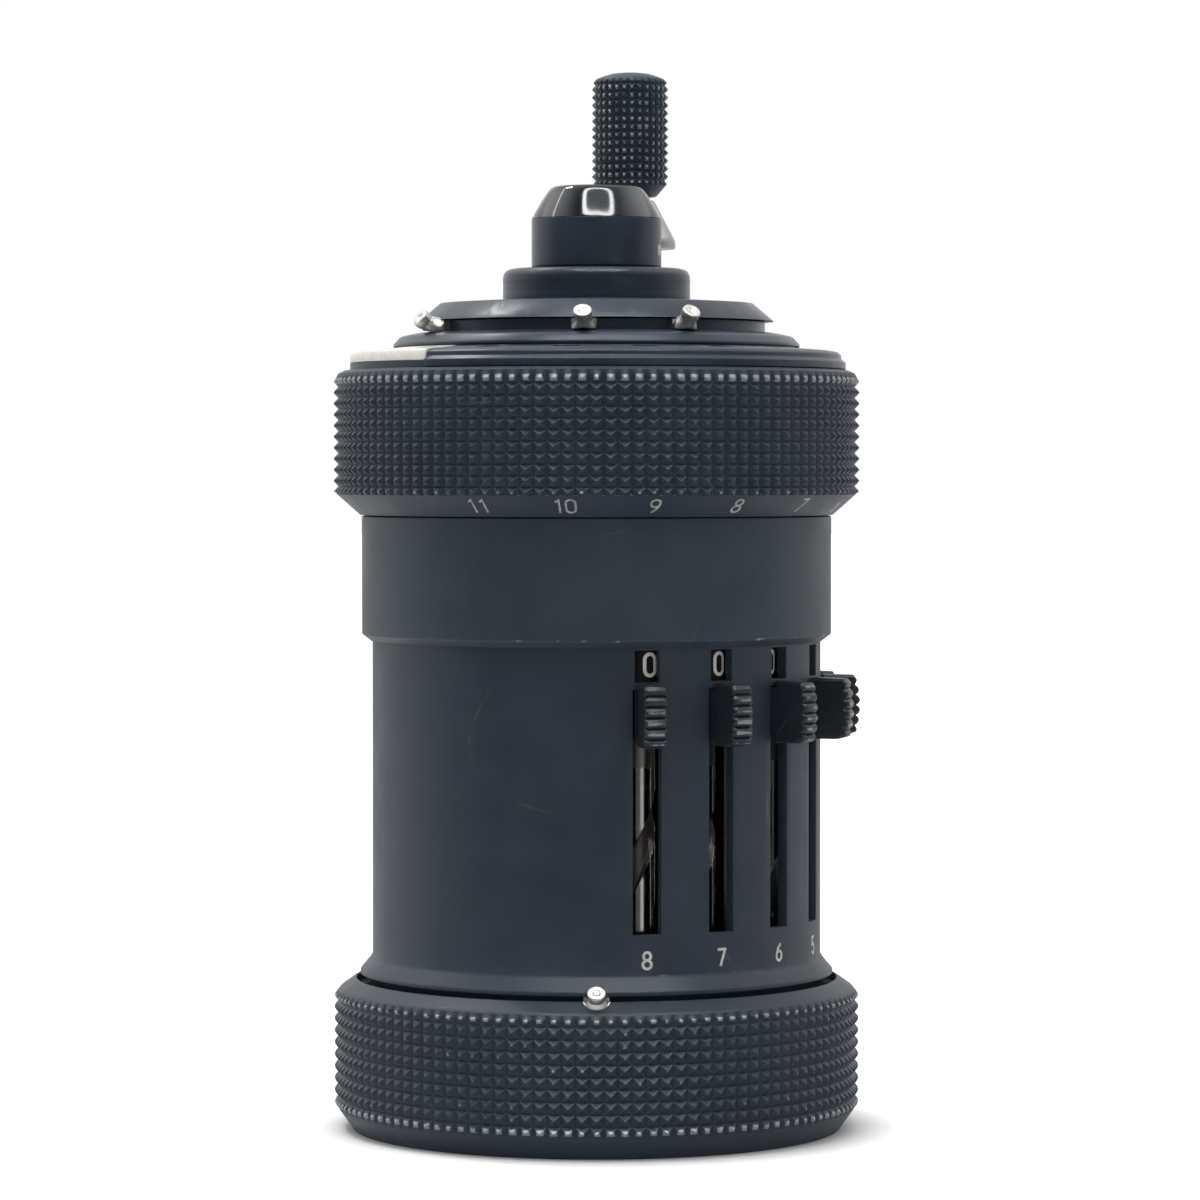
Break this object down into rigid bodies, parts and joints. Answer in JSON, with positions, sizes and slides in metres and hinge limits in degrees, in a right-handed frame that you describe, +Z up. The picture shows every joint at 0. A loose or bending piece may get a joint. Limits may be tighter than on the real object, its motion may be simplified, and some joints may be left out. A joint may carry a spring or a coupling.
{
  "type": "mechanical calculator",
  "caption": "Hand-held cylindrical mechanical calculator with setting sliders, a turning crank, a lifting number carriage, a clearing ring and sliding decimal markers.",
  "frame": {"origin": "centre of the base cup's flat underside, on the main shaft's axis", "axes": "+Z up along the main shaft; -Y is the front, between setting sliders 4 and 5; +X to the right seen from the front"},
  "size_m": [0.0656, 0.053, 0.1074],
  "materials": {
    "enamel": "semi-matt black enamel, worn bright on edges",
    "enamel_dark": "glossier black enamel",
    "slider_black": "black enamel with worn ridges",
    "dial_black": "black number drums",
    "white_paint": "white enamel",
    "steel": "turned steel",
    "spindle_steel": "turned steel",
    "spring_steel": "drawn spring wire",
    "marker_steel": "steel stud, white head",
    "brass": "turned brass"
  },
  "bodies": {
    "root": {"base_cup": "enamel", "base_plate": "brass", "housing_sleeve": "enamel", "upper_collar": "enamel", "top_bearing_plate": "brass", "spring_cap": "enamel_dark", "frame_posts": "steel", "transmission_shafts": "steel", "carriage_spring": "spring_steel"},
    "shift": {"shift_collar": "brass"},
    "crank": {"main_shaft": "steel", "stepped_drum": "brass", "crank_hub": "enamel_dark", "crank_arm": "steel"},
    "knob": {"crank_knob": "enamel"},
    "carriage_lifter": {"carriage_thrust_ring": "steel"},
    "carriage": {"carriage_ring": "enamel", "dial_frame": "enamel", "result_cover": "enamel_dark", "counter_cover": "white_paint"},
    "clearing": {"clearing_plate": "enamel_dark"},
    "finger_loop": {"finger_ring": "steel"},
    "reverser": {"reversing_lever": "enamel_dark"},
    "bottom_marker": {"bottom_marker": "marker_steel"},
    "slider_1": {"slider_1": "slider_black"},
    "setting_dial_1": {"setting_dial_1": "spindle_steel"},
    "slider_2": {"slider_2": "slider_black"},
    "setting_dial_2": {"setting_dial_2": "spindle_steel"},
    "slider_3": {"slider_3": "slider_black"},
    "setting_dial_3": {"setting_dial_3": "spindle_steel"},
    "slider_4": {"slider_4": "slider_black"},
    "setting_dial_4": {"setting_dial_4": "spindle_steel"},
    "slider_5": {"slider_5": "slider_black"},
    "setting_dial_5": {"setting_dial_5": "spindle_steel"},
    "slider_6": {"slider_6": "slider_black"},
    "setting_dial_6": {"setting_dial_6": "spindle_steel"},
    "slider_7": {"slider_7": "slider_black"},
    "setting_dial_7": {"setting_dial_7": "spindle_steel"},
    "slider_8": {"slider_8": "slider_black"},
    "setting_dial_8": {"setting_dial_8": "spindle_steel"},
    "result_dial_1": {"result_dial_1": "dial_black"},
    "result_dial_2": {"result_dial_2": "dial_black"},
    "result_dial_3": {"result_dial_3": "dial_black"},
    "result_dial_4": {"result_dial_4": "dial_black"},
    "result_dial_5": {"result_dial_5": "dial_black"},
    "result_dial_6": {"result_dial_6": "dial_black"},
    "result_dial_7": {"result_dial_7": "dial_black"},
    "result_dial_8": {"result_dial_8": "dial_black"},
    "result_dial_9": {"result_dial_9": "dial_black"},
    "result_dial_10": {"result_dial_10": "dial_black"},
    "result_dial_11": {"result_dial_11": "dial_black"},
    "counter_dial_1": {"counter_dial_1": "dial_black"},
    "counter_dial_2": {"counter_dial_2": "dial_black"},
    "counter_dial_3": {"counter_dial_3": "dial_black"},
    "counter_dial_4": {"counter_dial_4": "dial_black"},
    "counter_dial_5": {"counter_dial_5": "dial_black"},
    "counter_dial_6": {"counter_dial_6": "dial_black"},
    "top_marker_1": {"top_marker_1": "marker_steel"},
    "top_marker_2": {"top_marker_2": "marker_steel"},
    "top_marker_3": {"top_marker_3": "marker_steel"}
  },
  "joints": [
    {"name": "crank_lift", "type": "slide", "parent": "root", "child": "shift", "axis": [0, 0, 1], "range_m": [0, 0.00315]},
    {"name": "crank_turn", "type": "hinge", "parent": "shift", "child": "crank", "pos_m": [0, 0, 0], "axis": [0, 0, 1], "continuous": true},
    {"name": "knob_spin", "type": "hinge", "parent": "crank", "child": "knob", "pos_m": [0.01287, -0.00181, 0.1], "axis": [0, 0, 1], "continuous": true},
    {"name": "slider_1_slide", "type": "slide", "parent": "root", "child": "slider_1", "axis": [0, 0, -1], "range_m": [0, 0.0189]},
    {"name": "setting_dial_1_turn", "type": "hinge", "parent": "root", "child": "setting_dial_1", "pos_m": [0.01738, -0.00633, 0.045], "axis": [0, 0, 1], "range_deg": [-1, 326]},
    {"name": "slider_2_slide", "type": "slide", "parent": "root", "child": "slider_2", "axis": [0, 0, -1], "range_m": [0, 0.0189]},
    {"name": "setting_dial_2_turn", "type": "hinge", "parent": "root", "child": "setting_dial_2", "pos_m": [0.01417, -0.01189, 0.045], "axis": [0, 0, 1], "range_deg": [-1, 326]},
    {"name": "slider_3_slide", "type": "slide", "parent": "root", "child": "slider_3", "axis": [0, 0, -1], "range_m": [0, 0.0189]},
    {"name": "setting_dial_3_turn", "type": "hinge", "parent": "root", "child": "setting_dial_3", "pos_m": [0.00925, -0.01602, 0.045], "axis": [0, 0, 1], "range_deg": [-1, 326]},
    {"name": "slider_4_slide", "type": "slide", "parent": "root", "child": "slider_4", "axis": [0, 0, -1], "range_m": [0, 0.0189]},
    {"name": "setting_dial_4_turn", "type": "hinge", "parent": "root", "child": "setting_dial_4", "pos_m": [0.00321, -0.01822, 0.045], "axis": [0, 0, 1], "range_deg": [-1, 326]},
    {"name": "slider_5_slide", "type": "slide", "parent": "root", "child": "slider_5", "axis": [0, 0, -1], "range_m": [0, 0.0189]},
    {"name": "setting_dial_5_turn", "type": "hinge", "parent": "root", "child": "setting_dial_5", "pos_m": [-0.00321, -0.01822, 0.045], "axis": [0, 0, 1], "range_deg": [-1, 326]},
    {"name": "slider_6_slide", "type": "slide", "parent": "root", "child": "slider_6", "axis": [0, 0, -1], "range_m": [0, 0.0189]},
    {"name": "setting_dial_6_turn", "type": "hinge", "parent": "root", "child": "setting_dial_6", "pos_m": [-0.00925, -0.01602, 0.045], "axis": [0, 0, 1], "range_deg": [-1, 326]},
    {"name": "slider_7_slide", "type": "slide", "parent": "root", "child": "slider_7", "axis": [0, 0, -1], "range_m": [0, 0.0189]},
    {"name": "setting_dial_7_turn", "type": "hinge", "parent": "root", "child": "setting_dial_7", "pos_m": [-0.01417, -0.01189, 0.045], "axis": [0, 0, 1], "range_deg": [-1, 326]},
    {"name": "slider_8_slide", "type": "slide", "parent": "root", "child": "slider_8", "axis": [0, 0, -1], "range_m": [0, 0.0189]},
    {"name": "setting_dial_8_turn", "type": "hinge", "parent": "root", "child": "setting_dial_8", "pos_m": [-0.01738, -0.00633, 0.045], "axis": [0, 0, 1], "range_deg": [-1, 326]},
    {"name": "carriage_lift", "type": "slide", "parent": "root", "child": "carriage_lifter", "axis": [0, 0, 1], "range_m": [0, 0.004], "stiffness_N_per_m": 400, "springref_m": -0.01, "deforming": ["carriage_spring"]},
    {"name": "carriage_turn", "type": "hinge", "parent": "carriage_lifter", "child": "carriage", "pos_m": [0, 0, 0], "axis": [0, 0, 1], "range_deg": [-20, 80]},
    {"name": "result_dial_1_turn", "type": "hinge", "parent": "carriage", "child": "result_dial_1", "pos_m": [0.02, 0, 0.0739], "axis": [1, 0, 0], "continuous": true},
    {"name": "result_dial_2_turn", "type": "hinge", "parent": "carriage", "child": "result_dial_2", "pos_m": [0.01879, -0.00684, 0.0739], "axis": [0.9397, -0.342, 0], "continuous": true},
    {"name": "result_dial_3_turn", "type": "hinge", "parent": "carriage", "child": "result_dial_3", "pos_m": [0.01532, -0.01286, 0.0739], "axis": [0.766, -0.6428, 0], "continuous": true},
    {"name": "result_dial_4_turn", "type": "hinge", "parent": "carriage", "child": "result_dial_4", "pos_m": [0.01, -0.01732, 0.0739], "axis": [0.5, -0.866, 0], "continuous": true},
    {"name": "result_dial_5_turn", "type": "hinge", "parent": "carriage", "child": "result_dial_5", "pos_m": [0.00347, -0.0197, 0.0739], "axis": [0.1736, -0.9848, 0], "continuous": true},
    {"name": "result_dial_6_turn", "type": "hinge", "parent": "carriage", "child": "result_dial_6", "pos_m": [-0.00347, -0.0197, 0.0739], "axis": [-0.1736, -0.9848, 0], "continuous": true},
    {"name": "result_dial_7_turn", "type": "hinge", "parent": "carriage", "child": "result_dial_7", "pos_m": [-0.01, -0.01732, 0.0739], "axis": [-0.5, -0.866, 0], "continuous": true},
    {"name": "result_dial_8_turn", "type": "hinge", "parent": "carriage", "child": "result_dial_8", "pos_m": [-0.01532, -0.01286, 0.0739], "axis": [-0.766, -0.6428, 0], "continuous": true},
    {"name": "result_dial_9_turn", "type": "hinge", "parent": "carriage", "child": "result_dial_9", "pos_m": [-0.01879, -0.00684, 0.0739], "axis": [-0.9397, -0.342, 0], "continuous": true},
    {"name": "result_dial_10_turn", "type": "hinge", "parent": "carriage", "child": "result_dial_10", "pos_m": [-0.02, 0, 0.0739], "axis": [-1, 0, 0], "continuous": true},
    {"name": "result_dial_11_turn", "type": "hinge", "parent": "carriage", "child": "result_dial_11", "pos_m": [-0.01879, 0.00684, 0.0739], "axis": [-0.9397, 0.342, 0], "continuous": true},
    {"name": "counter_dial_1_turn", "type": "hinge", "parent": "carriage", "child": "counter_dial_1", "pos_m": [-0.01532, 0.01286, 0.0739], "axis": [-0.766, 0.6428, 0], "continuous": true},
    {"name": "counter_dial_2_turn", "type": "hinge", "parent": "carriage", "child": "counter_dial_2", "pos_m": [-0.01, 0.01732, 0.0739], "axis": [-0.5, 0.866, 0], "continuous": true},
    {"name": "counter_dial_3_turn", "type": "hinge", "parent": "carriage", "child": "counter_dial_3", "pos_m": [-0.00347, 0.0197, 0.0739], "axis": [-0.1736, 0.9848, 0], "continuous": true},
    {"name": "counter_dial_4_turn", "type": "hinge", "parent": "carriage", "child": "counter_dial_4", "pos_m": [0.00347, 0.0197, 0.0739], "axis": [0.1736, 0.9848, 0], "continuous": true},
    {"name": "counter_dial_5_turn", "type": "hinge", "parent": "carriage", "child": "counter_dial_5", "pos_m": [0.01, 0.01732, 0.0739], "axis": [0.5, 0.866, 0], "continuous": true},
    {"name": "counter_dial_6_turn", "type": "hinge", "parent": "carriage", "child": "counter_dial_6", "pos_m": [0.01532, 0.01286, 0.0739], "axis": [0.766, 0.6428, 0], "continuous": true},
    {"name": "clearing_turn", "type": "hinge", "parent": "carriage", "child": "clearing", "pos_m": [0, 0, 0], "axis": [0, 0, 1], "continuous": true},
    {"name": "finger_ring_fold", "type": "hinge", "parent": "clearing", "child": "finger_loop", "pos_m": [0.01334, 0.00486, 0.083], "axis": [0, 0, 1], "range_deg": [0, 55]},
    {"name": "reversing_slide", "type": "slide", "parent": "root", "child": "reverser", "axis": [0, 0, -1], "range_m": [0, 0.004]},
    {"name": "top_marker_1_shift", "type": "hinge", "parent": "carriage", "child": "top_marker_1", "pos_m": [0, 0, 0], "axis": [0, 0, 1], "range_deg": [-60, 25]},
    {"name": "top_marker_2_shift", "type": "hinge", "parent": "carriage", "child": "top_marker_2", "pos_m": [0, 0, 0], "axis": [0, 0, 1], "range_deg": [-12, 12]},
    {"name": "top_marker_3_shift", "type": "hinge", "parent": "carriage", "child": "top_marker_3", "pos_m": [0, 0, 0], "axis": [0, 0, 1], "range_deg": [-10, 60]},
    {"name": "bottom_marker_shift", "type": "hinge", "parent": "root", "child": "bottom_marker", "pos_m": [0, 0, 0], "axis": [0, 0, 1], "continuous": true}
  ],
  "couplings": [
    {"joint": "setting_dial_1_turn", "follows": "slider_1_slide", "rad_per_m": 299.2},
    {"joint": "setting_dial_2_turn", "follows": "slider_2_slide", "rad_per_m": 299.2},
    {"joint": "setting_dial_3_turn", "follows": "slider_3_slide", "rad_per_m": 299.2},
    {"joint": "setting_dial_4_turn", "follows": "slider_4_slide", "rad_per_m": 299.2},
    {"joint": "setting_dial_5_turn", "follows": "slider_5_slide", "rad_per_m": 299.2},
    {"joint": "setting_dial_6_turn", "follows": "slider_6_slide", "rad_per_m": 299.2},
    {"joint": "setting_dial_7_turn", "follows": "slider_7_slide", "rad_per_m": 299.2},
    {"joint": "setting_dial_8_turn", "follows": "slider_8_slide", "rad_per_m": 299.2}
  ]
}
